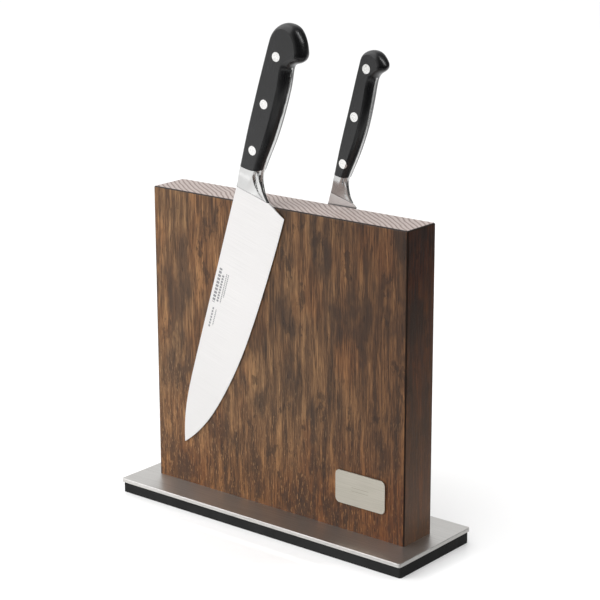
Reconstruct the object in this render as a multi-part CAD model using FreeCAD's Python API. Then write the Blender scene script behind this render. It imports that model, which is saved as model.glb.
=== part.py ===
import FreeCAD, Part
import math
import os

# Magnetic knife block with a chef's knife on its front face and a utility knife on its rear face.
# Millimetres.  X runs along the block's width, the front face looks towards -Y, Z is up.
# The origin is the middle of the base plate, on the surface that the block stands on.

# ---- Base ----
PLATE_WIDTH = 284.0
PLATE_DEPTH = 92.0
PLATE_THICKNESS = 3.0
PLATE_CORNER_RADIUS = 2.0
PLATE_EDGE_RADIUS = 0.4
PAD_THICKNESS = 9.0
PAD_INSET_ENDS = 0.4
PAD_INSET_SIDES = 1.7
PAD_CORNER_RADIUS = 2.0

# ---- Wooden block, two panels glued face to face ----
BLOCK_WIDTH = 250.0
BLOCK_HEIGHT = 244.0
BLOCK_EDGE_RADIUS = 1.5
FACE_SKIN = 3.0

# ---- Magnets and their keeper bars, sealed in pockets milled from the glue face ----
MAGNET_LENGTH = 40.0
MAGNET_HEIGHT = 25.0
MAGNET_THICKNESS = 10.0
MAGNET_SPACE = 8.0
KEEPER_THICKNESS = 4.0
POCKET_GAP = 0.5
POCKET_END_RADIUS = 6.0
ROWS = 3
ROW_SIDE_MARGIN = 30.0
ROW_TOP_MARGIN = 42.0
ROW_BOTTOM_MARGIN = 62.0

# ---- Base screws (M5 countersunk) and their threaded inserts ----
SCREW_RADIUS = 2.5
SCREW_HEAD_RADIUS = 4.8
SCREW_LENGTH = 20.0
SCREW_SOCKET_WIDTH = 3.0
SCREW_SOCKET_DEPTH = 1.4
SCREW_HOLE_CLEARANCE = 0.25
SCREW_END_MARGIN = 30.0
THREAD_CLEARANCE = 0.05
INSERT_RADIUS = 4.0
INSERT_LENGTH = 14.0
INSERT_RECESS = 1.0
PILOT_EXTRA_DEPTH = 3.0

# ---- Badge ----
BADGE_WIDTH = 47.0
BADGE_HEIGHT = 26.5
BADGE_THICKNESS = 1.0
BADGE_CORNER_RADIUS = 4.0
BADGE_SIDE_MARGIN = 17.3
BADGE_BASE_MARGIN = 21.7
BADGE_PAD_THICKNESS = 0.3
BADGE_PAD_INSET = 0.8

# ---- Knives ----
# A knife is drawn in its own frame: X from the bolster towards the tip, Y from the spine towards
# the edge, Z through its thickness, with the origin on the spine where the blade leaves the bolster.
# across: where that origin is along the block.  above: its height over the block's top.

# Handle outline: (share of the length from the bolster, spine drop and belly depth as shares of
# the handle's depth, half thickness as a share of its full half).
CHEF_HANDLE = [
    (-0.03, 0.0, 0.80, 0.84), (0.075, 0.0, 0.83, 0.90), (0.175, 0.0, 0.90, 0.95),
    (0.30, 0.0, 0.966, 0.99), (0.43, 0.0, 0.996, 1.0), (0.555, 0.0, 1.0, 1.0),
    (0.665, 0.006, 0.965, 1.0), (0.735, 0.011, 0.93, 1.0), (0.757, 0.013, 0.96, 1.0),
    (0.785, 0.015, 1.13, 1.0), (0.81, 0.017, 1.28, 1.0), (0.835, 0.02, 1.31, 0.99),
    (0.87, 0.025, 1.265, 0.97), (0.906, 0.05, 1.175, 0.92), (0.94, 0.115, 1.075, 0.82),
    (0.968, 0.212, 0.95, 0.68), (0.989, 0.335, 0.82, 0.49), (1.0, 0.47, 0.70, 0.27),
]
UTILITY_HANDLE = [
    (-0.04, 0.0, 0.70, 0.78), (0.05, 0.0, 0.76, 0.86), (0.15, 0.0, 0.86, 0.94),
    (0.28, 0.0, 0.955, 0.98), (0.42, 0.0, 1.0, 1.0), (0.56, 0.0, 0.985, 1.0),
    (0.69, -0.006, 0.93, 1.0), (0.775, -0.012, 0.89, 1.0), (0.825, -0.012, 0.925, 1.0),
    (0.858, -0.012, 1.06, 1.0), (0.888, -0.012, 1.225, 0.98), (0.917, -0.012, 1.262, 0.93),
    (0.948, 0.03, 1.145, 0.82), (0.973, 0.145, 0.985, 0.66), (0.991, 0.30, 0.81, 0.44),
    (1.0, 0.43, 0.69, 0.25),
]

CHEF = {
    "name": "chef",
    "outline": CHEF_HANDLE,
    "side": -1,
    "across": -34.4,
    "above": 12.4,
    "lean": 17.4,
    "blade_length": 229.0,
    "blade_depth": 49.2,
    "heel_set_forward": 5.7,
    "spine_thickness": 3.0,
    "tip_drop": 8.1,
    "bolster_length": 19.5,
    "guard_depth": 31.8,
    "handle_length": 119.0,
    "handle_depth": 25.3,
    "handle_half": 8.6,
    "handle_rise": 0.0,
    "scale_end_radius": 40.0,
    "rivet_front": 16.6,
    "rivet_back": 25.6,
    "rivet_line_front": 11.2,
    "rivet_line_back": 12.6,
    "tang_thickness": 3.0,
    "tang_stop": 31.0,
}
UTILITY = {
    "name": "utility",
    "outline": UTILITY_HANDLE,
    "side": 1,
    "across": 26.7,
    "above": 9.2,
    "lean": 15.8,
    "blade_length": 130.0,
    "blade_depth": 26.0,
    "heel_set_forward": 1.6,
    "spine_thickness": 2.2,
    "tip_drop": 4.0,
    "bolster_length": 16.5,
    "guard_depth": 21.6,
    "handle_length": 102.0,
    "handle_depth": 17.7,
    "handle_half": 7.2,
    "handle_rise": -0.3,
    "scale_end_radius": 40.0,
    "rivet_front": 11.4,
    "rivet_back": 13.8,
    "rivet_line_front": 8.5,
    "rivet_line_back": 9.3,
    "tang_thickness": 2.2,
    "tang_stop": 19.0,
}

# How a knife lies: its gap to the wood, its thinning towards the tip, and its least height over the base.
FACE_GAP = 0.46
MIDDLE_TAPER = 0.25
TIP_CLEARANCE = 10.0

# Blade: the tip's thickness and height, and the ground bevel along the edge, fading out at the tip.
TIP_THICKNESS = 0.2
TIP_HEIGHT = 0.4
EDGE_BEVEL = 1.1
EDGE_BEVEL_AT_TIP = 0.15
EDGE_BEVEL_FADE = 6
EDGE_BEVEL_HALF = 0.28
EDGE_BEVEL_THINNING = 0.6
EDGE_BEVEL_THINNING_FADE = 3

# Bolster: its step down to the blade, and the flat and rounded shares of its section.
GUARD_STEP = 0.45
GUARD_FLAT = 0.34
GUARD_ROUND = 0.35
GUARD_TIP_START = 0.41
GUARD_TIP_END = 0.7

# Cutler's rivets, and the tang's hidden tongue.
RIVETS = 3
RIVET_HEAD_RADIUS = 3.6
RIVET_SHANK_RADIUS = 2.4
RIVET_PIN_RADIUS = 1.4
RIVET_HEAD_DEPTH = 3.0
RIVET_CLEARANCE = 0.05
TONGUE_LENGTH = 15.0
TONGUE_INSET = 4.0
SCALE_END_CENTRE = 0.2

# Edge of a blade: (share of the length, share of the depth), from the heel to just short of the tip.
BLADE_EDGE = [
    (0.022, 1.0), (0.22, 0.979), (0.44, 0.919), (0.55, 0.869), (0.66, 0.788),
    (0.77, 0.671), (0.835, 0.58), (0.9, 0.458), (0.96, 0.304),
]
# Spine of a blade: (share of the length, share of the tip's drop, share of half the thickness).
BLADE_SPINE = [
    (0.27, 0.0, 0.92), (0.54, 0.0, 0.84), (0.70, 0.0, 0.76), (0.86, 0.03, 0.60), (0.955, 0.60, 0.32),
]


# Bolster stations from the handle to the blade: (share of the length, share of the way from the
# handle's belly to the guard's depth, share of the way from the handle's thickness to the guard's,
# share of the way the flat narrows, bulge of the belly side: + rounded, - hollow).
BOLSTER_FORM = [
    (-0.2, -0.03, 0.0, -0.1, 0.45), (0.0, 0.0, 0.0, 0.0, 0.45), (0.3, 0.12, 0.08, 0.35, 0.25),
    (0.55, 0.33, 0.36, 0.63, -0.5), (0.75, 0.56, 0.66, 0.80, -0.7),
    (0.88, 0.76, 0.86, 0.92, -0.5), (1.0, 1.0, 1.0, 1.0, -0.25),
]
SCOOP_START = 3
CREASE_SHARE = 0.53
HANDLE_SECTIONS = 34
BOLSTER_SECTIONS = 12

# ---- Worked out from the sizes above ----
plate_bottom = PAD_THICKNESS
plate_top = plate_bottom + PLATE_THICKNESS
block_top = plate_top + BLOCK_HEIGHT
pocket_depth = MAGNET_THICKNESS + KEEPER_THICKNESS + POCKET_GAP
panel_thickness = FACE_SKIN + pocket_depth
front_face = -panel_thickness
rear_face = panel_thickness
# Further than any piece reaches, for cutting shapes.
far_off = 2 * (CHEF["blade_length"] + CHEF["handle_length"])
# Lengths below this are rounding.
tiny = 1e-6


def vec(x, y, z):
    return FreeCAD.Vector(x, y, z)


def box(x_low, x_high, y_low, y_high, z_low, z_high):
    return Part.makeBox(x_high - x_low, y_high - y_low, z_high - z_low, vec(x_low, y_low, z_low))


def upright_edges(shape):
    """Straight edges that run along Z."""
    return [e for e in shape.Edges if e.BoundBox.ZLength > tiny
            and e.BoundBox.XLength < tiny and e.BoundBox.YLength < tiny]


def edges_through(shape):
    """Edges that run from the shape's front face to its back face."""
    return [e for e in shape.Edges if e.BoundBox.YLength > tiny]


def line(start, end):
    return Part.LineSegment(start, end).toShape()


def arc(start, middle, end):
    return Part.Arc(start, middle, end).toShape()


def save(shape, name):
    shape.exportStep("parts/" + name + ".step")


# ---------------------------------------------------------------- base and block


def screw_places():
    """Middle of each base screw, two in each panel's thickness."""
    reach = BLOCK_WIDTH / 2 - SCREW_END_MARGIN
    lane = panel_thickness / 2
    return [(x, y) for y in (-lane, lane) for x in (-reach, reach)]


def base_pad():
    half_x = PLATE_WIDTH / 2 - PAD_INSET_ENDS
    half_y = PLATE_DEPTH / 2 - PAD_INSET_SIDES
    pad = box(-half_x, half_x, -half_y, half_y, 0, PAD_THICKNESS)
    return pad.makeFillet(PAD_CORNER_RADIUS, upright_edges(pad))


def countersink(radius, head_radius, length):
    """A 90 degree countersunk head with its shank, head down, flush at Z = 0."""
    cone_height = head_radius - radius
    cone = Part.makeCone(head_radius, radius, cone_height)
    return cone.fuse(Part.makeCylinder(radius, length)).removeSplitter()


def base_plate():
    half_x = PLATE_WIDTH / 2
    half_y = PLATE_DEPTH / 2
    plate = box(-half_x, half_x, -half_y, half_y, plate_bottom, plate_top)
    plate = plate.makeFillet(PLATE_CORNER_RADIUS, upright_edges(plate))
    rim = [e for e in plate.Edges if e.BoundBox.ZMin > plate_top - tiny]
    plate = plate.makeFillet(PLATE_EDGE_RADIUS, rim)
    for x, y in screw_places():
        hole = countersink(SCREW_RADIUS + SCREW_HOLE_CLEARANCE, SCREW_HEAD_RADIUS, PLATE_THICKNESS)
        hole.translate(vec(x, y, plate_bottom))
        plate = plate.cut(hole)
    return plate


def base_screw(x, y):
    screw = countersink(SCREW_RADIUS, SCREW_HEAD_RADIUS - SCREW_HOLE_CLEARANCE, SCREW_LENGTH)
    corner = SCREW_SOCKET_WIDTH / math.sqrt(3)
    ring = [vec(corner * math.cos(math.radians(60 * i)), corner * math.sin(math.radians(60 * i)), 0)
            for i in range(7)]
    socket = Part.Face(Part.makePolygon(ring)).extrude(vec(0, 0, SCREW_SOCKET_DEPTH))
    screw = screw.cut(socket)
    screw.translate(vec(x, y, plate_bottom))
    return screw


def threaded_insert(x, y):
    base = plate_top + INSERT_RECESS
    body = Part.makeCylinder(INSERT_RADIUS, INSERT_LENGTH, vec(x, y, base))
    bore = Part.makeCylinder(SCREW_RADIUS + THREAD_CLEARANCE, INSERT_LENGTH, vec(x, y, base))
    return body.cut(bore)


def row_heights():
    lowest = plate_top + ROW_BOTTOM_MARGIN
    highest = block_top - ROW_TOP_MARGIN
    return [lowest + (highest - lowest) * i / (ROWS - 1) for i in range(ROWS)]


def magnets_in_row():
    room = BLOCK_WIDTH - 2 * ROW_SIDE_MARGIN
    return int((room + MAGNET_SPACE) // (MAGNET_LENGTH + MAGNET_SPACE))


def row_length():
    count = magnets_in_row()
    return count * MAGNET_LENGTH + (count - 1) * MAGNET_SPACE


def span_y(side, near, far):
    """Y range of a layer in the panel on one side, from two distances behind its outer face."""
    outer = side * panel_thickness
    ends = (outer - side * near, outer - side * far)
    return min(ends), max(ends)


def magnet_row(side, height):
    low, high = span_y(side, FACE_SKIN, FACE_SKIN + MAGNET_THICKNESS)
    bars = []
    for i in range(magnets_in_row()):
        x = -row_length() / 2 + i * (MAGNET_LENGTH + MAGNET_SPACE)
        bars.append(box(x, x + MAGNET_LENGTH, low, high,
                        height - MAGNET_HEIGHT / 2, height + MAGNET_HEIGHT / 2))
    return Part.makeCompound(bars)


def keeper_bar(side, height):
    near = FACE_SKIN + MAGNET_THICKNESS
    low, high = span_y(side, near, near + KEEPER_THICKNESS)
    half = row_length() / 2
    return box(-half, half, low, high, height - MAGNET_HEIGHT / 2, height + MAGNET_HEIGHT / 2)


def magnet_pocket(side, height):
    """A milled pocket with round ends that clears the row's square corners."""
    low, high = span_y(side, FACE_SKIN, panel_thickness)
    half_x = row_length() / 2 + POCKET_GAP + POCKET_END_RADIUS
    half_z = MAGNET_HEIGHT / 2 + POCKET_GAP
    pocket = box(-half_x, half_x, low, high, height - half_z, height + half_z)
    return pocket.makeFillet(POCKET_END_RADIUS, edges_through(pocket))


def panel(side):
    half = BLOCK_WIDTH / 2
    block = box(-half, half, front_face, rear_face, plate_top, block_top)
    top_and_upright = [e for e in block.Edges if e.BoundBox.ZMax > block_top - tiny]
    block = block.makeFillet(BLOCK_EDGE_RADIUS, top_and_upright)
    low, high = span_y(side, 0, panel_thickness)
    wood = block.common(box(-half, half, low, high, plate_top, block_top))
    for height in row_heights():
        wood = wood.cut(magnet_pocket(side, height))
    for x, y in screw_places():
        if low < y < high:
            depth = SCREW_LENGTH - PLATE_THICKNESS + PILOT_EXTRA_DEPTH
            wood = wood.cut(Part.makeCylinder(INSERT_RADIUS, depth, vec(x, y, plate_top)))
    return wood


def rounded_plate(width, height, radius, y_low, y_high, x, z):
    slab = box(x - width / 2, x + width / 2, y_low, y_high, z - height / 2, z + height / 2)
    return slab.makeFillet(radius, edges_through(slab))


def badge_place():
    x = BLOCK_WIDTH / 2 - BADGE_SIDE_MARGIN - BADGE_WIDTH / 2
    z = plate_top + BADGE_BASE_MARGIN + BADGE_HEIGHT / 2
    return x, z


def badge():
    x, z = badge_place()
    back = front_face - BADGE_PAD_THICKNESS
    return rounded_plate(BADGE_WIDTH, BADGE_HEIGHT, BADGE_CORNER_RADIUS,
                         back - BADGE_THICKNESS, back, x, z)


def badge_adhesive():
    x, z = badge_place()
    return rounded_plate(BADGE_WIDTH - 2 * BADGE_PAD_INSET, BADGE_HEIGHT - 2 * BADGE_PAD_INSET,
                         BADGE_CORNER_RADIUS - BADGE_PAD_INSET,
                         front_face - BADGE_PAD_THICKNESS, front_face, x, z)


# ---------------------------------------------------------------- knives


def smooth(points):
    curve = Part.BSplineCurve()
    curve.interpolate(points)
    return curve


def blade(knife):
    """Ground blade: flat cheeks ruled from spine to edge, a narrow bevel, and a distal taper."""
    length = knife["blade_length"]
    depth = knife["blade_depth"]
    half = knife["spine_thickness"] / 2
    drop = knife["tip_drop"]
    start = -knife["bolster_length"] / 4
    edge_points = [vec(start, depth, 0)]
    edge_points += [vec(a * length, b * depth, 0) for a, b in BLADE_EDGE]
    edge_points += [vec(length, drop + TIP_HEIGHT, 0)]
    last = len(edge_points) - 1
    edge = smooth(edge_points)
    sides = []
    for z in (-1, 1):
        bevel_points = []
        for i, point in enumerate(edge_points):
            along = edge.tangent(edge.parameter(point))[0]
            inward = vec(0, -1, 0) if i in (0, last) else vec(along.y, -along.x, 0)
            width = EDGE_BEVEL_AT_TIP + EDGE_BEVEL * (1 - (i / last) ** EDGE_BEVEL_FADE)
            thinning = 1 - EDGE_BEVEL_THINNING * (i / last) ** EDGE_BEVEL_THINNING_FADE
            reach = point + inward * width
            bevel_points.append(vec(reach.x, reach.y, z * EDGE_BEVEL_HALF * thinning))
        spine_poles = [vec(start, 0, z * half)]
        spine_poles += [vec(a * length, b * drop, z * half * t) for a, b, t in BLADE_SPINE]
        spine_poles += [vec(length, drop, z * TIP_THICKNESS / 2)]
        spine = Part.BSplineCurve()
        spine.buildFromPoles(spine_poles, False, 3)
        sides.append((spine.toShape(), smooth(bevel_points).toShape()))
    edge_line = edge.toShape()
    (spine_low, bevel_low), (spine_high, bevel_high) = sides
    faces = [Part.makeRuledSurface(spine_low, bevel_low), Part.makeRuledSurface(spine_high, bevel_high),
             Part.makeRuledSurface(bevel_low, edge_line), Part.makeRuledSurface(bevel_high, edge_line),
             Part.makeRuledSurface(spine_low, spine_high)]
    for pick in (0, 1):
        ring = [s.Vertexes[pick].Point for s in (spine_low, bevel_low, edge_line, bevel_high, spine_high)]
        faces.append(Part.Face(Part.makePolygon(ring + ring[:1])))
    skin = Part.makeCompound(faces)
    skin.sewShape()
    return Part.makeSolid(skin.Shells[0])


def through(table, first):
    """Spline through two columns of a table, from its number first, with the share as parameter."""
    curve = Part.BSplineCurve()
    points = [vec(row[0], row[first], row[first + 1]) for row in table]
    curve.interpolate(Points=points, Parameters=[row[0] for row in table])
    return curve


def handle_stations(knife):
    """Spine, belly and half thickness along the handle, closer together round the butt."""
    table = knife["outline"]
    outline = through(table, 1)
    thickness = through([(row[0], row[3], 0.0) for row in table], 1)
    depth = knife["handle_depth"]
    start = table[0][0]
    rows = []
    for i in range(HANDLE_SECTIONS):
        turn = math.pi / 2 * i / (HANDLE_SECTIONS - 1)
        share = start + (1 - start) * math.sin(turn)
        point = outline.value(share)
        rows.append((-knife["bolster_length"] - share * knife["handle_length"],
                     point.y * depth - knife["handle_rise"], point.z * depth,
                     thickness.value(share).y * knife["handle_half"]))
    return rows


def handle_section(x, spine, belly, half):
    """Round spine, flat cheek, round belly, flat cheek, with a crease where round meets flat."""
    sag = CREASE_SHARE * half
    top = spine + sag
    low = belly - sag
    return Part.Wire([
        arc(vec(x, top, -half), vec(x, spine, 0), vec(x, top, half)),
        line(vec(x, top, half), vec(x, low, half)),
        arc(vec(x, low, half), vec(x, belly, 0), vec(x, low, -half)),
        line(vec(x, low, -half), vec(x, top, -half)),
    ])


def handle_form(knife):
    return Part.makeLoft([handle_section(*row) for row in handle_stations(knife)], True, False)


def bolster_section(x, spine, belly, half, flat_end, tip_half, bulge):
    """Round spine, flat cheek, rounded or hollow flank, round belly, and back up the other side."""
    top = spine + CREASE_SHARE * half
    low = belly - GUARD_ROUND * tip_half
    middle = (flat_end + low) / 2
    middle_half = (half + tip_half) / 2 + bulge
    flanks = []
    for z in (1, -1):
        flanks.append(smooth([vec(x, flat_end, z * half), vec(x, middle, z * middle_half),
                              vec(x, low, z * tip_half)]))
    flanks[1].reverse()
    return Part.Wire([
        arc(vec(x, top, -half), vec(x, spine, 0), vec(x, top, half)),
        line(vec(x, top, half), vec(x, flat_end, half)),
        flanks[0].toShape(),
        arc(vec(x, low, tip_half), vec(x, belly, 0), vec(x, low, -tip_half)),
        flanks[1].toShape(),
        line(vec(x, flat_end, -half), vec(x, top, -half)),
    ])


def bolster(knife):
    """The thick collar between handle and blade, scooped hollow down to the guard."""
    length = knife["bolster_length"]
    belly_start, half_start = handle_stations(knife)[0][2:]
    half_end = knife["spine_thickness"] / 2 + GUARD_STEP
    flat_start = belly_start - CREASE_SHARE * half_start
    flat_end = knife["guard_depth"] * GUARD_FLAT
    outline = through(BOLSTER_FORM, 1)
    flank = through(BOLSTER_FORM, 3)
    start = BOLSTER_FORM[0][0]
    sections = []
    for i in range(BOLSTER_SECTIONS):
        share = start + (1 - start) * i / (BOLSTER_SECTIONS - 1)
        rise, thin = outline.value(share).y, outline.value(share).z
        narrow, bulge = flank.value(share).y, flank.value(share).z
        tip_half = GUARD_TIP_START * half_start * (1 - share) + GUARD_TIP_END * half_end * share
        sections.append(bolster_section(-length * (1 - share), -knife["handle_rise"] * (1 - share),
                                        belly_start + rise * (knife["guard_depth"] - belly_start),
                                        half_start + thin * (half_end - half_start),
                                        flat_start + narrow * (flat_end - flat_start), tip_half, bulge))
    return Part.makeLoft(sections, True, False)


def heel_cutter(knife):
    """Everything below the bolster's belly and behind the heel's slanted end."""
    length = knife["bolster_length"]
    guard = knife["guard_depth"]
    belly_start = handle_stations(knife)[0][2]
    front = [vec(-length * (1 - row[0]), belly_start + row[1] * (guard - belly_start), -far_off)
             for row in BOLSTER_FORM[SCOOP_START:]]
    far = knife["blade_depth"] + far_off
    slope = knife["heel_set_forward"] / (knife["blade_depth"] - guard)
    ring = front + [vec((far - guard) * slope, far, -far_off), vec(front[0].x, far, -far_off)]
    return Part.Face(Part.makePolygon(ring + ring[:1])).extrude(vec(0, 0, 2 * far_off))


def scale_end(knife):
    """Everything on the handle's side of the joint between scales and bolster."""
    radius = knife["scale_end_radius"]
    centre = vec(-knife["bolster_length"] - radius, knife["handle_depth"] * SCALE_END_CENTRE, -far_off)
    round_end = Part.makeCylinder(radius, 2 * far_off, centre)
    back = box(centre.x - far_off, centre.x, -far_off, far_off, -far_off, far_off)
    return back.fuse(round_end)


def tang(knife, form):
    """Full width plate between the scales, then a hidden tongue inside the butt."""
    half = knife["tang_thickness"] / 2
    butt = -knife["bolster_length"] - knife["handle_length"]
    stop = butt + knife["tang_stop"]
    plate = form.common(box(stop, 0, -far_off, far_off, -half, half))
    tongue = box(stop - TONGUE_LENGTH, stop, TONGUE_INSET, knife["handle_depth"] - TONGUE_INSET,
                 -half, half)
    return plate.fuse(tongue.common(form))


def rivet_places(knife):
    first = vec(-knife["bolster_length"] - knife["rivet_front"], knife["rivet_line_front"], 0)
    butt = -knife["bolster_length"] - knife["handle_length"]
    last = vec(butt + knife["rivet_back"], knife["rivet_line_back"], 0)
    return [first + (last - first) * (i / (RIVETS - 1)) for i in range(RIVETS)]


def rivet_head(place, side, half):
    """A head from its seat outwards, longer than it will be once it is ground flush."""
    start = half - RIVET_HEAD_DEPTH
    return Part.makeCylinder(RIVET_HEAD_RADIUS, far_off, place + vec(0, 0, side * start), vec(0, 0, side))


def rivet_shank(place, radius, half):
    """A round bar through the whole handle, between the two heads' seats."""
    start = half - RIVET_HEAD_DEPTH
    return Part.makeCylinder(radius, 2 * start, place - vec(0, 0, start))


def rivet_halves(place, half, form):
    """A cutler's rivet: a tubular socket half and a pin half, heads ground flush with the scales."""
    tube = rivet_shank(place, RIVET_SHANK_RADIUS, half)
    bore = rivet_shank(place, RIVET_PIN_RADIUS + RIVET_CLEARANCE, half)
    socket = rivet_head(place, 1, half).fuse(tube).cut(bore).common(form)
    pin = rivet_head(place, -1, half).fuse(rivet_shank(place, RIVET_PIN_RADIUS, half)).common(form)
    return socket, pin


def knife_pieces(knife):
    form = handle_form(knife)
    handle_side = scale_end(knife)
    plate = tang(knife, form)
    steel = bolster(knife).cut(handle_side)
    forging = steel.fuse(blade(knife).cut(heel_cutter(knife))).fuse(plate)
    half = knife["handle_half"]
    places = rivet_places(knife)
    name = knife["name"]
    pieces = {}
    for side, word in ((1, "front"), (-1, "rear")):
        half_space = box(-far_off, 0, -far_off, far_off, 0, far_off)
        half_space.rotate(vec(0, 0, 0), vec(1, 0, 0), 0 if side > 0 else 180)
        scale = form.common(half_space).common(handle_side).cut(plate)
        for place in places:
            scale = scale.cut(rivet_shank(place, RIVET_SHANK_RADIUS, half))
            scale = scale.cut(rivet_head(place, side, half))
        pieces["%s_scale_%s" % (name, word)] = scale
    for number, place in enumerate(places, 1):
        forging = forging.cut(rivet_shank(place, RIVET_SHANK_RADIUS, half))
        socket, pin = rivet_halves(place, half, form)
        pieces["%s_rivet_%d_socket" % (name, number)] = socket
        pieces["%s_rivet_%d_pin" % (name, number)] = pin
    pieces[name + "_blade"] = forging.removeSplitter()
    return pieces


def knife_place(knife):
    """Sets a knife on its face: cheek flat against the wood, tip down and leaning over."""
    side = knife["side"]
    lean = math.radians(knife["lean"])
    along = vec(-math.sin(lean), 0, -math.cos(lean))
    across = vec(math.cos(lean), 0, -math.sin(lean))
    turn = FreeCAD.Rotation(along, across, vec(0, -1, 0), "XYZ")
    half = knife["spine_thickness"] / 2
    middle_half = half * (1 - MIDDLE_TAPER)
    cheek = math.degrees(math.atan((middle_half - EDGE_BEVEL_HALF) / knife["blade_depth"]))
    taper = math.degrees(math.atan(2 * half * MIDDLE_TAPER / knife["blade_length"]))
    turn = turn.multiply(FreeCAD.Rotation(vec(1, 0, 0), side * cheek))
    turn = turn.multiply(FreeCAD.Rotation(vec(0, 1, 0), -side * taper))
    face = side * panel_thickness
    tip_reach = knife["blade_length"] * math.cos(lean) + knife["tip_drop"] * math.sin(lean)
    height = max(block_top + knife["above"], plate_top + TIP_CLEARANCE + tip_reach)
    return FreeCAD.Placement(vec(knife["across"], face + side * (FACE_GAP + half), height), turn)


# ---------------------------------------------------------------- all pieces


def main():
    os.makedirs("parts", exist_ok=True)
    save(base_pad(), "base_pad")
    save(base_plate(), "base_plate")
    for number, (x, y) in enumerate(screw_places(), 1):
        save(base_screw(x, y), "base_screw_%d" % number)
        save(threaded_insert(x, y), "threaded_insert_%d" % number)
    for side, word in ((-1, "front"), (1, "rear")):
        save(panel(side), word + "_panel")
        for number, height in enumerate(row_heights(), 1):
            save(magnet_row(side, height), "%s_magnets_%d" % (word, number))
            save(keeper_bar(side, height), "%s_keeper_%d" % (word, number))
    save(badge(), "badge")
    save(badge_adhesive(), "badge_adhesive")
    for knife in (CHEF, UTILITY):
        place = knife_place(knife)
        for name, shape in knife_pieces(knife).items():
            save(shape.transformGeometry(place.toMatrix()), name)


main()
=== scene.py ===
import math
from types import SimpleNamespace

import bmesh
import bpy
from mathutils import Matrix, Vector
from mathutils.bvhtree import BVHTree


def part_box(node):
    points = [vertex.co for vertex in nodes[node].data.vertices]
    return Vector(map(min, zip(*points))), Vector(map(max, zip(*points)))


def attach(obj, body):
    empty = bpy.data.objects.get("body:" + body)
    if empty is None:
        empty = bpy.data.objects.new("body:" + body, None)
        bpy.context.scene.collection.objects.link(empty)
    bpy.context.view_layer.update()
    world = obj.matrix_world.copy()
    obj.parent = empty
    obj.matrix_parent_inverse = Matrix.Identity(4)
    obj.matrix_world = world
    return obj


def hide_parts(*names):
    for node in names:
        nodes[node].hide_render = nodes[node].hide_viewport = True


# A magnetic knife block: a dark stained wooden block on a brushed steel base, with a chef's knife
# on its front face and a utility knife on its rear face.  Metres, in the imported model's frame.

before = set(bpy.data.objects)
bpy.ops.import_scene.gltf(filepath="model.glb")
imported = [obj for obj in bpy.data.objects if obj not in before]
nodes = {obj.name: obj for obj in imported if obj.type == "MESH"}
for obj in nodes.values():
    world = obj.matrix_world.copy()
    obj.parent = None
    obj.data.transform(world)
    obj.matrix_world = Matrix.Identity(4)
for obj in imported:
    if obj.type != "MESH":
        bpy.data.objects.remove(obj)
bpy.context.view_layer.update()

MM = 0.001


# ---------------------------------------------------------------- small helpers


def linear(code):
    """An sRGB hex colour as linear RGBA."""
    channels = [int(code[i:i + 2], 16) / 255 for i in (0, 2, 4)]
    return [c / 12.92 if c <= 0.04045 else ((c + 0.055) / 1.055) ** 2.4 for c in channels] + [1.0]


def add(tree, kind, inputs=None, stops=None, **settings):
    """Adds a node with its settings, and links or values for its inputs.  stops colour a ramp."""
    made = tree.nodes.new(kind)
    for name, value in settings.items():
        setattr(made, name, value)
    for key, value in (inputs or {}).items():
        if isinstance(value, bpy.types.NodeSocket):
            tree.links.new(value, made.inputs[key])
        else:
            made.inputs[key].default_value = value
    if stops:
        ramp = made.color_ramp.elements
        while len(ramp) < len(stops):
            ramp.new(1.0)
        for element, (place, colour) in zip(ramp, stops):
            element.position = place
            element.color = linear(colour)
    return made


def new_material(name):
    """An empty material: returns it with its tree and its output."""
    made = bpy.data.materials.new(name)
    made.use_nodes = True
    made.node_tree.nodes.clear()
    return made, made.node_tree, made.node_tree.nodes.new("ShaderNodeOutputMaterial")


def finish_material(made, tree, out, inputs):
    """Gives the material its shader, with these inputs."""
    shader = add(tree, "ShaderNodeBsdfPrincipled", inputs)
    tree.links.new(shader.outputs["BSDF"], out.inputs["Surface"])
    return made


def paint(names, material):
    """Gives CAD nodes that keep their own mesh a material."""
    for name in names:
        nodes[name].data.materials.clear()
        nodes[name].data.materials.append(material)


# ---------------------------------------------------------------- the two knives

# Everything is in millimetres, in the knife's own frame, which starts where the spine meets the
# collar.  side is -1 on the front face and 1 on the rear.  across and above place that start from
# the middle of the block's top edge, and lean is in degrees.  tang_stop is how far back the full
# tang runs.  The collar's flute runs from flute_start beside the belly to flute_end at the guard,
# both as depth less half thickness.  etched lists rows of plain dashes: two corners along and
# across the blade, and the beat of the dashes.  border is the width of a scale's rounded border
# by how far round it is from the collar: spine, butt, hook and belly.

CHEF = SimpleNamespace(
    name="chef", body="chef_knife", side=-1, across=-34.4, above=12.4, lean=17.4,
    spine_thickness=3.0, blade_depth=49.2, blade_length=229.0,
    collar_length=19.5, collar_haze=0.10, flute_start=12.5, flute_end=27.0, flute_reach=4.0,
    handle_depth=25.3, tang_half=1.5, tang_stop=-107.5,
    border=[(0.0, 4.0), (0.12, 3.2), (0.42, 3.0), (0.5, 3.4),
            (0.6, 4.2), (0.66, 5.4), (0.9, 5.0), (1.0, 4.2)],
    etched=[((70, 2.6), (100, 5.2), 1.5), ((74, 6.6), (98, 8.4), 1.2),
            ((72, 10.0), (98, 10.8), 0.8), ((72, 11.8), (92, 12.6), 0.8),
            ((104, 4.6), (122, 6.0), 1.3), ((105, 8.0), (119, 8.8), 0.8)])

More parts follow.
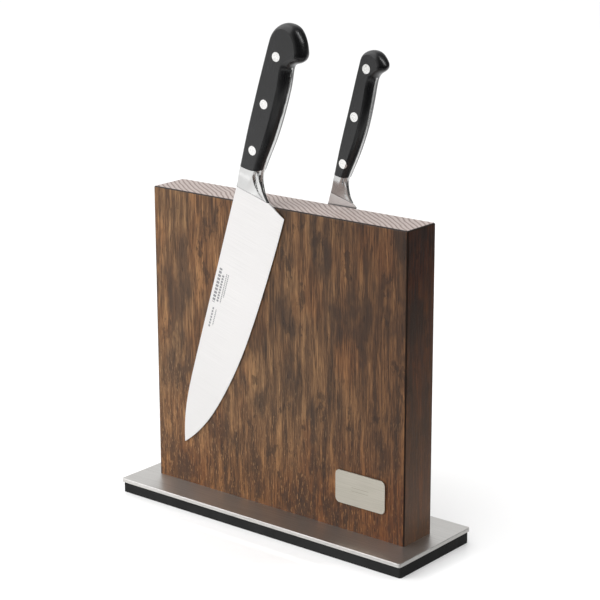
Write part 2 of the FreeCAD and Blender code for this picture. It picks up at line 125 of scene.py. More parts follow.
UTILITY = SimpleNamespace(
    name="utility", body="utility_knife", side=1, across=26.7, above=9.2, lean=15.8,
    spine_thickness=2.2, blade_depth=26.0, blade_length=130.0,
    collar_length=16.5, collar_haze=0.24, flute_start=8.0, flute_end=18.0, flute_reach=3.2,
    handle_depth=17.7, tang_half=1.1, tang_stop=-99.5,
    border=[(0.0, 3.2), (0.12, 2.6), (0.42, 2.4), (0.5, 2.6),
            (0.58, 3.2), (0.64, 4.0), (0.9, 3.8), (1.0, 3.2)],
    etched=[])


def knife_frame(knife):
    """A knife's own frame: X to the tip, Y from spine to edge, Z through the steel, as a matrix."""
    face_gap, bevel_half, middle_taper = 0.46, 0.28, 0.25
    side = knife.side
    low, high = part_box("front_panel" if side < 0 else "rear_panel")
    face = (low.y if side < 0 else high.y) / MM
    half = knife.spine_thickness / 2
    lean = math.radians(knife.lean)
    cheek = math.atan((half * (1 - middle_taper) - bevel_half) / knife.blade_depth)
    taper = math.atan(2 * half * middle_taper / knife.blade_length)
    along = Vector((-math.sin(lean), 0, -math.cos(lean)))
    over = Vector((math.cos(lean), 0, -math.sin(lean)))
    basis = Matrix((along, over, along.cross(over))).transposed()
    basis = basis @ Matrix.Rotation(side * cheek, 3, "X") @ Matrix.Rotation(-side * taper, 3, "Y")
    place = Vector((knife.across, face + side * (face_gap + half), high.z / MM + knife.above)) * MM
    return Matrix.Translation(place) @ basis.to_4x4()


for knife in (CHEF, UTILITY):
    knife.frame = knife_frame(knife)
    knife.from_row = Matrix.Scale(1 / MM, 4) @ knife.frame.inverted()


def knife_millimetres(tree, knife):
    """Texture coordinates in a knife's own frame, in millimetres."""
    here = add(tree, "ShaderNodeTexCoord").outputs["Object"]
    return add(tree, "ShaderNodeMapping", {
        "Vector": here, "Location": knife.frame.translation,
        "Rotation": knife.frame.to_euler("XYZ"), "Scale": (MM, MM, MM)},
        vector_type="TEXTURE").outputs["Vector"]


# ---------------------------------------------------------------- materials


def stained_wood():
    """Hardwood stained dark brown and wiped with a satin oil.  Straight grain runs up the block:
    cloudy streaks, short dark pores, darker and redder patches, and growth rings that show on the
    end grain."""
    made, tree, out = new_material("stained_hardwood")
    here = add(tree, "ShaderNodeTexCoord")
    millimetres = add(tree, "ShaderNodeMapping", {
        "Vector": here.outputs["Object"], "Scale": (1 / MM, 1 / MM, 1 / MM)}).outputs[0]

    def grain(vector, wide, long, detail=3.0, roughness=0.6, result="Fac"):
        """A pattern whose cells are wide across the grain and long up it, in millimetres."""
        size = add(tree, "ShaderNodeMapping", {
            "Vector": vector, "Scale": (1 / wide, 1 / wide, 1 / long)})
        return add(tree, "ShaderNodeTexNoise", {
            "Vector": size.outputs[0], "Scale": 1.0, "Detail": detail,
            "Roughness": roughness}).outputs[result]

    def stained(below, above, where, low=0.0, high=1.0, most=1.0, how="MIX"):
        """Lays one colour over another as where runs from low to high, no stronger than most."""
        strength = add(tree, "ShaderNodeMapRange", {
            "Value": where, "From Min": low, "From Max": high, "To Max": most})
        return add(tree, "ShaderNodeMix", {0: strength.outputs[0], 6: below, 7: above},
                   data_type="RGBA", blend_type=how).outputs[2]

    # The grain wanders a few millimetres sideways on its way up.
    wander = 9.0
    slow = grain(millimetres, wide=50, long=90, detail=2.0, result="Color")
    shift = add(tree, "ShaderNodeVectorMath", {0: slow, 1: (-0.5, -0.5, -0.5)}, operation="ADD")
    shift = add(tree, "ShaderNodeVectorMath", {0: shift.outputs[0], 1: (wander, wander, 0.0)},
                operation="MULTIPLY")
    warped = add(tree, "ShaderNodeVectorMath", {0: millimetres, 1: shift.outputs[0]},
                 operation="ADD").outputs[0]

    # Dark and light streaks, with fine fibres over them.
    streaks = grain(warped, wide=6.0, long=80, detail=5.0, roughness=0.68)
    fibres = grain(millimetres, wide=0.8, long=22)
    both = add(tree, "ShaderNodeMix", {0: 0.40, 2: streaks, 3: fibres})
    colour = add(tree, "ShaderNodeValToRGB", {"Fac": both.outputs[0]}, stops=[
        (0.36, "37281c"), (0.45, "523b28"), (0.50, "664a32"), (0.55, "7c5c3e"),
        (0.64, "a07a52")]).outputs[0]

    # The stain took unevenly: warmer and greyer areas, cloudy dark patches and a few sharp ones.
    hue = grain(millimetres, wide=38, long=85, detail=2.0, result="Color")
    hue = add(tree, "ShaderNodeSeparateColor", {0: hue})
    colour = stained(colour, linear("ffd6b0"), hue.outputs[0], 0.48, 0.62, 0.35, how="MULTIPLY")
    colour = stained(colour, linear("d6d2cf"), hue.outputs[1], 0.50, 0.64, 0.5, how="MULTIPLY")
    clouds = grain(warped, wide=22, long=52, detail=4.0)
    colour = stained(colour, linear("3b2c22"), clouds, 0.50, 0.62, 0.75)
    patches = grain(warped, wide=14, long=30, detail=5.0, roughness=0.7)
    colour = stained(colour, linear("2e2119"), patches, 0.59, 0.63, 0.6)

    # Open pores, thin and dark.
    pores = add(tree, "ShaderNodeMapRange", {
        "Value": grain(warped, wide=0.8, long=9, detail=1.0),
        "From Min": 0.60, "From Max": 0.70, "To Max": 0.6}).outputs[0]
    colour = stained(colour, linear("21160f"), pores)

    # Short light flecks where the fibres lie shallow, mostly near the foot.
    height = add(tree, "ShaderNodeSeparateXYZ", {0: here.outputs["Object"]})
    flecked = stained(colour, linear("b08b62"), height.outputs["Z"], 0.16, 0.02)
    flecks = grain(warped, wide=0.7, long=6, detail=2.0)
    colour = stained(colour, flecked, flecks, 0.60, 0.68, 0.75)

    # Painted light falloff: paler towards the left of the face, where the light is nearer, and
    # painted shade darker towards the right; redder at the foot.
    for tint, axis, low, high, most, how in (
            ("ffffff", "X", -0.02, -0.125, 0.5, "SOFT_LIGHT"),
            ("decdc0", "X", 0.02, 0.10, 0.8, "MULTIPLY"),
            ("fad4a6", "Z", 0.10, 0.01, 0.6, "MULTIPLY")):
        colour = stained(colour, linear(tint), height.outputs[axis], low, high, most, how)

    # The thin sides are painted darker than the planed faces, a painted shade as on faces turned
    # from the light, and painted lighter towards the foot, a painted glow of light thrown up off
    # the table.
    facing = add(tree, "ShaderNodeSeparateXYZ", {0: here.outputs["Normal"]})
    sideways = add(tree, "ShaderNodeMath", {0: facing.outputs["X"]}, operation="ABSOLUTE")
    side_shade_tint = stained(linear("cd9e6c"), linear("f4dab8"), height.outputs["Z"], 0.25, 0.03)
    side = stained(colour, side_shade_tint, 1.0, how="MULTIPLY")
    side = stained(side, linear("8f7560"), height.outputs["Z"], 0.22, 0.03, 0.45)
    colour = stained(colour, side, sideways.outputs[0], 0.5, 0.95)

    # End grain on top: growth rings slanting across the block, with fine vessels.
    ring_spacing, ring_turn = 3.6, math.radians(-54)
    turned = add(tree, "ShaderNodeMapping", {"Vector": warped, "Rotation": (0, 0, ring_turn)})
    along = add(tree, "ShaderNodeSeparateXYZ", {0: turned.outputs[0]})
    ring = add(tree, "ShaderNodeMath", {0: along.outputs["X"], 1: ring_spacing},
               operation="DIVIDE")
    ring = add(tree, "ShaderNodeMath", {0: ring.outputs[0]}, operation="FRACT")
    ends = add(tree, "ShaderNodeValToRGB", {"Fac": ring.outputs[0]}, stops=[
        (0.0, "b1a39d"), (0.45, "c0b3ae"), (0.72, "97867f"), (0.84, "66544e"),
        (1.0, "aa9b95")]).outputs[0]
    vessels = grain(millimetres, wide=0.9, long=0.9, detail=2.0)
    ends = stained(ends, linear("675750"), vessels, 0.55, 0.75, 0.5)
    colour = stained(colour, ends, facing.outputs["Z"], 0.80, 0.97)

    # Dark lines painted along the top's edges and the four upright ones: painted shade, as on
    # rounded edges turned from the light.
    line_inset, line_half = 0.5 * MM, 0.42 * MM
    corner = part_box("front_panel")[1]
    across = add(tree, "ShaderNodeMath", {0: height.outputs["X"]}, operation="ABSOLUTE")
    for place, edge in ((height.outputs["Z"], corner.z), (across.outputs[0], corner.x)):
        edge_shade_line = add(tree, "ShaderNodeMath", {0: place, 1: edge - line_inset, 2: line_half},
                      operation="COMPARE")
        colour = stained(colour, linear("241811"), edge_shade_line.outputs[0])

    relief = add(tree, "ShaderNodeMix", {0: pores, 2: fibres, 3: 0.0})
    bump = add(tree, "ShaderNodeBump", {
        "Height": relief.outputs[0], "Strength": 0.7, "Distance": 0.3 * MM})
    rough = add(tree, "ShaderNodeMapRange", {"Value": streaks, "To Min": 0.34, "To Max": 0.56})
    return finish_material(made, tree, out, {
        "Base Color": colour, "Roughness": rough.outputs[0], "Normal": bump.outputs[0],
        "Specular IOR Level": 0.25})


def brushed_plate():
    """Stainless sheet, belt brushed along its length: fine straight lines blur what it mirrors."""
    made, tree, out = new_material("belt_brushed_stainless")
    here = add(tree, "ShaderNodeTexCoord").outputs["Object"]
    # The real scratches are 0.1 mm apart: these are coarser so that they show.
    long, apart = 60 * MM, 0.35 * MM
    size = add(tree, "ShaderNodeMapping", {
        "Vector": here, "Scale": (1 / long, 1 / apart, 1 / apart)})
    lines = add(tree, "ShaderNodeTexNoise", {
        "Vector": size.outputs[0], "Scale": 1.0, "Detail": 3.0, "Roughness": 0.7}).outputs["Fac"]
    shade = add(tree, "ShaderNodeValToRGB", {"Fac": lines}, stops=[
        (0.3, "b9b7b4"), (0.7, "d6d4d1")])
    rough = add(tree, "ShaderNodeMapRange", {"Value": lines, "To Min": 0.30, "To Max": 0.46})
    bump = add(tree, "ShaderNodeBump", {"Height": lines, "Strength": 0.12, "Distance": 0.03 * MM})
    return finish_material(made, tree, out, {
        "Base Color": shade.outputs[0], "Metallic": 1.0, "Roughness": rough.outputs[0],
        "Normal": bump.outputs[0], "Anisotropic": 0.3})


def moulded_rubber():
    """Black rubber sheet with the faint pebble of its mould."""
    made, tree, out = new_material("moulded_rubber")
    here = add(tree, "ShaderNodeTexCoord").outputs["Object"]
    pebble_size, dust_size = 0.9 * MM, 25 * MM
    pebble = add(tree, "ShaderNodeTexNoise", {
        "Vector": here, "Scale": 1 / pebble_size, "Detail": 2.0}).outputs["Fac"]
    dust = add(tree, "ShaderNodeTexNoise", {"Vector": here, "Scale": 1 / dust_size, "Detail": 3.0})
    shade = add(tree, "ShaderNodeValToRGB", {"Fac": dust.outputs["Fac"]}, stops=[
        (0.3, "131313"), (0.75, "222222")])
    rough = add(tree, "ShaderNodeMapRange", {"Value": pebble, "To Min": 0.62, "To Max": 0.85})
    bump = add(tree, "ShaderNodeBump", {"Height": pebble, "Strength": 0.3, "Distance": 0.1 * MM})
    return finish_material(made, tree, out, {
        "Base Color": shade.outputs[0], "Roughness": rough.outputs[0], "Normal": bump.outputs[0],
        "Specular IOR Level": 0.3})


def inside(tree, vector, low, high, soft):
    """1 inside a box given by its corners in the XY plane, falling to 0 over soft at its sides."""
    parts = add(tree, "ShaderNodeSeparateXYZ", {0: vector})
    mask = 1.0
    for axis, start, end in (("X", low[0], high[0]), ("Y", low[1], high[1])):
        middle, half = (start + end) / 2, (end - start) / 2
        off = add(tree, "ShaderNodeMath", {0: parts.outputs[axis], 1: middle},
                  operation="SUBTRACT")
        off = add(tree, "ShaderNodeMath", {0: off.outputs[0]}, operation="ABSOLUTE")
        edge = add(tree, "ShaderNodeMapRange", {
            "Value": off.outputs[0], "From Min": half, "From Max": half + soft,
            "To Min": 1.0, "To Max": 0.0})
        mask = add(tree, "ShaderNodeMath", {0: mask, 1: edge.outputs[0]},
                   operation="MULTIPLY").outputs[0]
    return mask


def knife_steel(knife):
    """Forged stainless knife: a satin ground blade with fine lines from spine to edge, and a collar
    that is polished to a mirror.  Rows of plain dashes may be etched into the blade."""
    made, tree, out = new_material(knife.name + "_forged_stainless")
    here = knife_millimetres(tree, knife)
    parts = add(tree, "ShaderNodeSeparateXYZ", {0: here})
    along = parts.outputs["X"]
    # The real grinding lines are 0.05 mm apart: these are coarser so that they show.
    apart, long, smear_size = 0.3, 35, 30
    size = add(tree, "ShaderNodeMapping", {
        "Vector": here, "Scale": (1 / apart, 1 / long, 1 / long)})
    lines = add(tree, "ShaderNodeTexNoise", {
        "Vector": size.outputs[0], "Scale": 1.0, "Detail": 2.0}).outputs["Fac"]
    smears = add(tree, "ShaderNodeTexNoise", {
        "Vector": here, "Scale": 1 / smear_size, "Detail": 3.0}).outputs["Fac"]
    on_blade = add(tree, "ShaderNodeMapRange", {
        "Value": along, "From Min": -0.3, "From Max": 0.1}).outputs[0]
    satin = add(tree, "ShaderNodeMapRange", {"Value": lines, "To Min": 0.26, "To Max": 0.36})
    hazy = add(tree, "ShaderNodeMapRange", {
        "Value": smears, "To Min": knife.collar_haze, "To Max": knife.collar_haze + 0.06})
    rough = add(tree, "ShaderNodeMix", {0: on_blade, 2: hazy.outputs[0], 3: satin.outputs[0]})
    ground = add(tree, "ShaderNodeValToRGB", {"Fac": lines}, stops=[
        (0.3, "dddbda"), (0.7, "e6e4e3")])
    polished = add(tree, "ShaderNodeValToRGB", {"Fac": smears}, stops=[
        (0.3, "c3c3c2"), (0.7, "d2d2d1")])
    colour = add(tree, "ShaderNodeMix", {0: on_blade, 6: polished.outputs[0], 7: ground.outputs[0]},
                 data_type="RGBA").outputs[2]

    # A dark line painted where the blade meets the collar, a painted shade under the collar's edge,
    # and the blade painted greyer towards its tip, a painted dimmer reflection there.
    collar_shade_at, collar_shade_half, tip_dimming_starts = -0.2, 0.22, knife.blade_length * 0.35
    collar_shade_line = add(tree, "ShaderNodeMath", {0: along, 1: collar_shade_at, 2: collar_shade_half}, operation="COMPARE")
    tip_dimming = add(tree, "ShaderNodeMapRange", {
        "Value": along, "From Min": tip_dimming_starts, "From Max": knife.blade_length,
        "To Max": 0.8})
    # The collar line and the tip greying are painted shade; the etched rows are the steel's own
    # marks.
    shades = [(collar_shade_line, "6f6f70"), (tip_dimming, "cfcecd")]
    soft_edge, gap_share = 0.15, 0.3
    for low, high, beat in knife.etched:
        row = inside(tree, here, low, high, soft_edge)
        dash = add(tree, "ShaderNodeMath", {0: along, 1: beat}, operation="PINGPONG")
        dash = add(tree, "ShaderNodeMath", {0: dash.outputs[0], 1: beat * gap_share},
                   operation="GREATER_THAN")
        row = add(tree, "ShaderNodeMath", {0: row, 1: dash.outputs[0]}, operation="MULTIPLY")
        shades.append((row, "8e8e90"))
    for where, shade in shades:
        colour = add(tree, "ShaderNodeMix", {0: where.outputs[0], 6: colour, 7: linear(shade)},
                     data_type="RGBA").outputs[2]

    line_relief = 0.03
    strength = add(tree, "ShaderNodeMath", {0: on_blade, 1: line_relief}, operation="MULTIPLY")
    bump = add(tree, "ShaderNodeBump", {
        "Height": lines, "Strength": strength.outputs[0], "Distance": 0.02 * MM})
    return finish_material(made, tree, out, {
        "Base Color": colour, "Metallic": 1.0, "Roughness": rough.outputs[0],
        "Normal": bump.outputs[0]})


def handle_plastic(knife):
    """Black acetal scales, milled and then buffed: nearly smooth, with faint lines lengthwise."""
    made, tree, out = new_material(knife.name + "_acetal")
    here = knife_millimetres(tree, knife)
    long, apart, touch_size = 25, 0.5, 14
    size = add(tree, "ShaderNodeMapping", {
        "Vector": here, "Scale": (1 / long, 1 / apart, 1 / apart)})
    buffing = add(tree, "ShaderNodeTexNoise", {
        "Vector": size.outputs[0], "Scale": 1.0, "Detail": 3.0}).outputs["Fac"]
    handling = add(tree, "ShaderNodeTexNoise", {
        "Vector": here, "Scale": 1 / touch_size, "Detail": 2.0}).outputs["Fac"]
    shade = add(tree, "ShaderNodeValToRGB", {"Fac": handling}, stops=[
        (0.3, "111112"), (0.7, "18181a")])
    mixed = add(tree, "ShaderNodeMix", {0: 0.4, 2: buffing, 3: handling})
    rough = add(tree, "ShaderNodeMapRange", {
        "Value": mixed.outputs[0], "To Min": 0.18, "To Max": 0.34})
    bump = add(tree, "ShaderNodeBump", {"Height": buffing, "Strength": 0.1, "Distance": 0.02 * MM})
    return finish_material(made, tree, out, {
        "Base Color": shade.outputs[0], "Roughness": rough.outputs[0], "Normal": bump.outputs[0],
        "Specular IOR Level": 0.5})


def rivet_steel():
    """Stainless rivets, ground flush with the scales and buffed."""
    made, tree, out = new_material("ground_rivet_steel")
    here = add(tree, "ShaderNodeTexCoord").outputs["Object"]
    scratch_size = 0.7 * MM
    scratches = add(tree, "ShaderNodeTexNoise", {
        "Vector": here, "Scale": 1 / scratch_size, "Detail": 3.0}).outputs["Fac"]
    shade = add(tree, "ShaderNodeValToRGB", {"Fac": scratches}, stops=[
        (0.3, "dedddb"), (0.7, "f2f1ef")])
    rough = add(tree, "ShaderNodeMapRange", {"Value": scratches, "To Min": 0.2, "To Max": 0.34})
    return finish_material(made, tree, out, {
        "Base Color": shade.outputs[0], "Metallic": 1.0, "Roughness": rough.outputs[0]})


def badge_steel():
    """Stamped stainless plate, brushed along its length, with two plain rules etched across it."""
    made, tree, out = new_material("brushed_badge_steel")
    here = add(tree, "ShaderNodeTexCoord").outputs["Object"]
    long, apart = 22 * MM, 0.3 * MM
    size = add(tree, "ShaderNodeMapping", {
        "Vector": here, "Scale": (1 / long, 1 / apart, 1 / apart)})
    lines = add(tree, "ShaderNodeTexNoise", {
        "Vector": size.outputs[0], "Scale": 1.0, "Detail": 3.0}).outputs["Fac"]
    shade = add(tree, "ShaderNodeValToRGB", {"Fac": lines}, stops=[
        (0.3, "aba69b"), (0.7, "bcb8ad")])
    # The rules, in millimetres from the middle of the plate: a flat box less the one between them.
    low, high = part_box("badge")
    centre = Vector(((low.x + high.x) / 2, 0, (low.z + high.z) / 2))
    flat = add(tree, "ShaderNodeMapping", {
        "Vector": here, "Location": centre, "Scale": (MM, MM, MM)}, vector_type="TEXTURE")
    part = add(tree, "ShaderNodeSeparateXYZ", {0: flat.outputs[0]})
    plane = add(tree, "ShaderNodeCombineXYZ", {
        0: part.outputs["X"], 1: part.outputs["Z"]}).outputs[0]
    soft_edge, etch_strength = 0.1, 0.55
    rules = inside(tree, plane, (-8.0, -1.6), (8.0, 1.6), soft_edge)
    between = inside(tree, plane, (-8.5, -1.1), (8.5, 1.1), soft_edge)
    etched = add(tree, "ShaderNodeMath", {0: rules, 1: between}, operation="SUBTRACT",
                 use_clamp=True)
    faint = add(tree, "ShaderNodeMath", {0: etched.outputs[0], 1: etch_strength},
                operation="MULTIPLY")
    colour = add(tree, "ShaderNodeMix", {
        0: faint.outputs[0], 6: shade.outputs[0], 7: linear("8f897d")}, data_type="RGBA")
    rough = add(tree, "ShaderNodeMapRange", {"Value": lines, "To Min": 0.36, "To Max": 0.5})
    bump = add(tree, "ShaderNodeBump", {"Height": lines, "Strength": 0.2, "Distance": 0.02 * MM})
    return finish_material(made, tree, out, {
        "Base Color": colour.outputs[2], "Metallic": 1.0, "Roughness": rough.outputs[0],
        "Normal": bump.outputs[0]})


def hidden_fitting(name, dark, light, metallic, roughness):
    """A hidden fitting's material, with a faint mottle from its making."""
    made, tree, out = new_material(name)
    here = add(tree, "ShaderNodeTexCoord").outputs["Object"]
    mottle_size, spread = 1.5 * MM, 0.08
    mottle = add(tree, "ShaderNodeTexNoise", {
        "Vector": here, "Scale": 1 / mottle_size, "Detail": 3.0}).outputs["Fac"]
    shade = add(tree, "ShaderNodeValToRGB", {"Fac": mottle}, stops=[(0.3, dark), (0.7, light)])
    rough = add(tree, "ShaderNodeMapRange", {
        "Value": mottle, "To Min": roughness - spread, "To Max": roughness + spread})
    return finish_material(made, tree, out, {
        "Base Color": shade.outputs[0], "Metallic": metallic, "Roughness": rough.outputs[0]})


paint(["front_panel", "rear_panel"], stained_wood())
paint(["base_plate"], brushed_plate())
paint(["base_pad"], moulded_rubber())
paint([n for n in nodes if "_rivet_" in n], rivet_steel())
paint(["badge"], badge_steel())
for mark, name, dark, light, metallic, roughness in (
        ("badge_adhesive", "adhesive_foam", "222222", "303030", 0.0, 0.8),
        ("base_screw", "screw_steel", "9fa0a2", "bcbdbf", 1.0, 0.3),
        ("threaded_insert", "turned_brass", "a98544", "c8a462", 1.0, 0.3),
        ("_magnets_", "pressed_ferrite", "2c2c2e", "414144", 0.0, 0.6),
        ("_keeper_", "cold_rolled_steel", "7c7e80", "96989a", 1.0, 0.4)):
    paint([n for n in nodes if mark in n], hidden_fitting(name, dark, light, metallic, roughness))


# ---------------------------------------------------------------- handle scales


def in_knife(node, knife):
    """A CAD node's corners in knife millimetres."""
    return [knife.from_row @ v.co for v in nodes[node].data.vertices]


def evenly(line, count):
    """The same line with count points, evenly spaced."""
    lengths = [0.0]
    for a, b in zip(line, line[1:]):
        lengths.append(lengths[-1] + (b - a).length)
    found, j = [], 0
    for i in range(count):
        want = lengths[-1] * i / (count - 1)
        while j < len(line) - 2 and lengths[j + 1] < want:
            j += 1
        share = (want - lengths[j]) / max(lengths[j + 1] - lengths[j], 1e-9)
        found.append(line[j].lerp(line[j + 1], min(1.0, share)))
    return found


def smoothed(line, rounds):
    """The line with its kinks eased: each round moves every inner point towards its neighbours."""
    for _ in range(rounds):
        inner = [(a + b * 2 + c) / 4 for a, b, c in zip(line, line[1:], line[2:])]
        line = [line[0]] + inner + [line[-1]]
    return line


def inwards(line, depths):
    """The line moved towards the middle of the handle, each point by its own depth."""
    moved = []
    for i, point in enumerate(line):
        along = (line[min(i + 1, len(line) - 1)] - line[max(i - 1, 0)]).normalized()
        moved.append(point + Vector((along.y, -along.x)) * depths[i])
    return moved


def stepped(table, at):
    """Straight line interpolation in a table of (place, value)."""
    for (a, low), (b, high) in zip(table, table[1:]):
        if at <= b:
            return low + (high - low) * max(0.0, at - a) / (b - a)
    return table[-1][1]


class Handle:
    """What the scales of one handle are drawn from, in knife millimetres, off its CAD scale."""

    def __init__(self, knife):
        self.knife = knife
        node = knife.name + "_scale_front"
        points = in_knife(node, knife)
        faces = [list(p.vertices) for p in nodes[node].data.polygons]
        self.tree = BVHTree.FromPolygons(points, faces)
        self.butt = min(p.x for p in points)
        self.half = max(p.z for p in points)

        # Rays from far outside find the outline just above the tang, from the joint to the butt.
        above_tang, far, steps, from_joint, from_butt = 0.12, 200.0, 90, 0.3, 0.05
        level = knife.tang_half + above_tang
        front, back = self.joint(knife.handle_depth) - from_joint, self.butt + from_butt
        spine, belly = [], []
        for i in range(steps + 1):
            x = front + (back - front) * math.sin(math.pi / 2 * i / steps)
            for line, start, way in ((spine, -far, 1), (belly, far, -1)):
                hit = self.tree.ray_cast(Vector((x, start, level)), Vector((0, way, 0)))[0]
                line.append(Vector((x, hit.y)))

        # Both lines run on ahead of the joint, which clips them later.
        ahead = 8.0
        for line in (spine, belly):
            line.insert(0, line[0] + (line[0] - line[3]).normalized() * ahead)
        self.outline = spine + belly[::-1]

    def joint(self, y):
        """Where the scales end against the collar, an arc."""
        radius, middle = 40.0, self.knife.handle_depth * 0.2
        return -self.knife.collar_length - radius + math.sqrt(radius ** 2 - (y - middle) ** 2)

    def half_at(self, x):
        """Half the handle's thickness: thinner near the collar, then full to the butt."""
        if x < (-self.knife.collar_length + self.butt) / 2:
            return self.half
        clear_of_joint, on_cheek, far = 2.5, self.knife.handle_depth * 0.24, 100.0
        x = min(x, -self.knife.collar_length - clear_of_joint)
        return self.tree.ray_cast(Vector((x, on_cheek, far)), Vector((0, 0, -1)))[0].z

    def clipped(self, line):
        """The part of the line behind the joint."""
        past = [p.x - self.joint(p.y) for p in line]
        first = next(i for i, d in enumerate(past) if d < 0)
        last = max(i for i, d in enumerate(past) if d < 0)
        start = line[first - 1].lerp(line[first], past[first - 1] / (past[first - 1] - past[first]))
        end = line[last].lerp(line[last + 1], past[last] / (past[last] - past[last + 1]))
        return [start] + line[first:last + 1] + [end]

    def rings(self, around, count):
        """Lines round the scale from the tang's side, over the rounded border, to the crease."""
        points, turn, first_rounds, later_rounds = around * 2, math.radians(70), 6, 2
        line, last, found = smoothed(evenly(self.outline, points), first_rounds), 0.0, []
        for k in range(count):
            angle = turn * k / (count - 1)
            share = (1 - math.cos(angle)) / (1 - math.cos(turn))
            rise = math.sin(angle) / math.sin(turn)
            depths = [stepped(self.knife.border, i / (points - 1)) * (share - last)
                      for i in range(points)]
            line = smoothed(evenly(inwards(line, depths), points), later_rounds)
            last = share
            ring = []
            for p in evenly(self.clipped(line), around):
                floor = self.knife.tang_half if p.x > self.knife.tang_stop else 0.0
                ring.append(Vector((p.x, p.y, max(floor, self.half_at(p.x) * rise))))
            found.append(ring)
        return found


def ladder(made, row, handle, steps=8):
    """Fills the inside of a ring with ribs from its spine to its belly.  Returns the first rib."""
    pairs, ribs = len(row) // 2, []
    for i in range(pairs - 1):
        a, b = row[i].co, row[-1 - i].co
        middle = [a.lerp(b, j / steps) for j in range(1, steps)]
        if i == 0:
            middle = [Vector((handle.joint(p.y), p.y, p.z)) for p in middle]
        ribs.append([row[i]] + [made.verts.new(p) for p in middle] + [row[-1 - i]])
    for low, high in zip(ribs, ribs[1:]):
        for j in range(steps):
            made.faces.new((low[j], high[j], high[j + 1], low[j + 1]))
    last = ribs[-1]
    for j in range(steps):
        made.faces.new((last[j], row[pairs - 1 if j < steps // 2 else pairs], last[j + 1]))
    made.faces.new((last[steps // 2], row[pairs - 1], row[pairs]))
    return ribs[0]


def link(name, made, knife):
    """An object in the row frame from a shape drawn in knife millimetres."""
    bmesh.ops.recalc_face_normals(made, faces=made.faces)
    made.transform(knife.frame @ Matrix.Scale(MM, 4))
    mesh = bpy.data.meshes.new(name)
    made.to_mesh(mesh)
    made.free()
    piece = bpy.data.objects.new(name, mesh)
    bpy.context.scene.collection.objects.link(piece)
    return piece


def finish_piece(piece, material, body, node):
    """Smooth shading and a material for a piece that stands for one CAD node; hides that node and
    attaches the piece to its body.
    """
    piece.data.shade_smooth()
    piece.data.materials.clear()
    piece.data.materials.append(material)
    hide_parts(node)
    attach(piece, body)


def drill(piece, knife, rivets, side):
    """Holes as wide as the rivets' heads."""
    length, inside_by = 14.0, 1.0
    cutters = []
    for node in rivets:
        xs, ys = zip(*[(p.x, p.y) for p in in_knife(node, knife)])
        radius = (max(xs) - min(xs)) / 2
        middle = ((max(xs) + min(xs)) / 2, (max(ys) + min(ys)) / 2, side * (length / 2 - inside_by))
        made = bmesh.new()
        bmesh.ops.create_cone(made, cap_ends=True, segments=64, radius1=radius, radius2=radius,
                              depth=length, matrix=Matrix.Translation(middle))
        cutters.append(link("cutter", made, knife))
        hole = piece.modifiers.new("hole", "BOOLEAN")
        hole.operation, hole.solver, hole.object = "DIFFERENCE", "EXACT", cutters[-1]
    bpy.context.view_layer.update()
    drilled = piece.evaluated_get(bpy.context.evaluated_depsgraph_get())
    cut = bpy.data.meshes.new_from_object(drilled)
    piece.modifiers.clear()
    piece.data = cut
    for cutter in cutters:
        bpy.data.objects.remove(cutter)


def scale(handle, end, side, half_rivet, material):
    """One moulded scale: a flat cheek inside a rounded border that runs round spine, butt and
    belly, with a crease between them, drilled for the rivets."""
    knife = handle.knife
    rings = handle.rings(around=240, count=13)
    made = bmesh.new()
    grid = [[made.verts.new((p.x, p.y, p.z * side)) for p in ring] for ring in rings]
    for low, high in zip(grid, grid[1:]):
        for i in range(len(low) - 1):
            made.faces.new((low[i], low[i + 1], high[i + 1], high[i]))
    top, bottom = ladder(made, grid[-1], handle), ladder(made, grid[0], handle)
    to_belly, to_spine = [g[0] for g in grid] + top[1:-1], [g[-1] for g in reversed(grid)]
    made.faces.new(to_belly + to_spine + bottom[-2:0:-1])
    piece = link("%s_moulded_scale_%s" % (knife.name, end), made, knife)
    rivets = [n for n in nodes if n.startswith(knife.name + "_rivet_") and n.endswith(half_rivet)]
    drill(piece, knife, rivets, side)
    piece.data.set_sharp_from_angle(angle=math.radians(20))
    finish_piece(piece, material, knife.body,
                 "%s_scale_%s" % (knife.name, end))


for knife in (CHEF, UTILITY):
    handle, material = Handle(knife), handle_plastic(knife)
    scale(handle, "front", 1, "socket", material)
    scale(handle, "rear", -1, "pin", material)


# ---------------------------------------------------------------- blade, collar and tang


def forging(knife):
    """Blade, collar and tang as forged, with a flute pressed into both flanks of the collar."""
    collar, start, end = knife.collar_length, knife.flute_start, knife.flute_end
    made = bmesh.new()
    made.from_mesh(nodes[knife.name + "_blade"].data)
    made.transform(knife.from_row)
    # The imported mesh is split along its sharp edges, so an open edge is a sharp one.
    for edge in made.edges:
        edge.smooth = len(edge.link_faces) > 1
    bmesh.ops.remove_doubles(made, verts=made.verts, dist=0.001)

    # The collar's mesh is made finer, or it couldn't show the flute.
    finest, rounds = 0.5, 7
    behind, before = -collar - 0.5, 0.2
    for _ in range(rounds):
        coarse = [e for e in made.edges if e.calc_length() > finest
                  and all(behind < v.co.x < before and v.co.y > start for v in e.verts)]
        if not coarse:
            break
        bmesh.ops.subdivide_edges(made, edges=coarse, cuts=1)
        bmesh.ops.triangulate(made, faces=[f for f in made.faces if len(f.verts) > 3])
    made.normal_update()

    # The flute is deepest along its middle line, and fades at both ends and on thin metal.
    deepest, fade, sweep, full_thickness = 1.3, 3.0, 1.9, 4.0
    moves = []
    for v in made.verts:
        share = (v.co.x + collar) / collar
        if not 0 < share < 1:
            continue
        middle = start + (end - start) * share ** sweep
        near = max(0.0, 1 - abs(v.co.y - abs(v.co.z) - middle) / knife.flute_reach)
        ends = min(1.0, -v.co.x / fade, (v.co.x + collar) / fade)
        thick = min(1.0, abs(v.co.z) / full_thickness)
        moves.append((v, v.normal * (deepest * near * near * (3 - 2 * near) * ends * thick)))
    for v, move in moves:
        v.co -= move
    piece = link(knife.name + "_forging", made, knife)
    finish_piece(piece, knife_steel(knife), knife.body, knife.name + "_blade")


for knife in (CHEF, UTILITY):
    forging(knife)


# ---------------------------------------------------------------- stage, light and camera


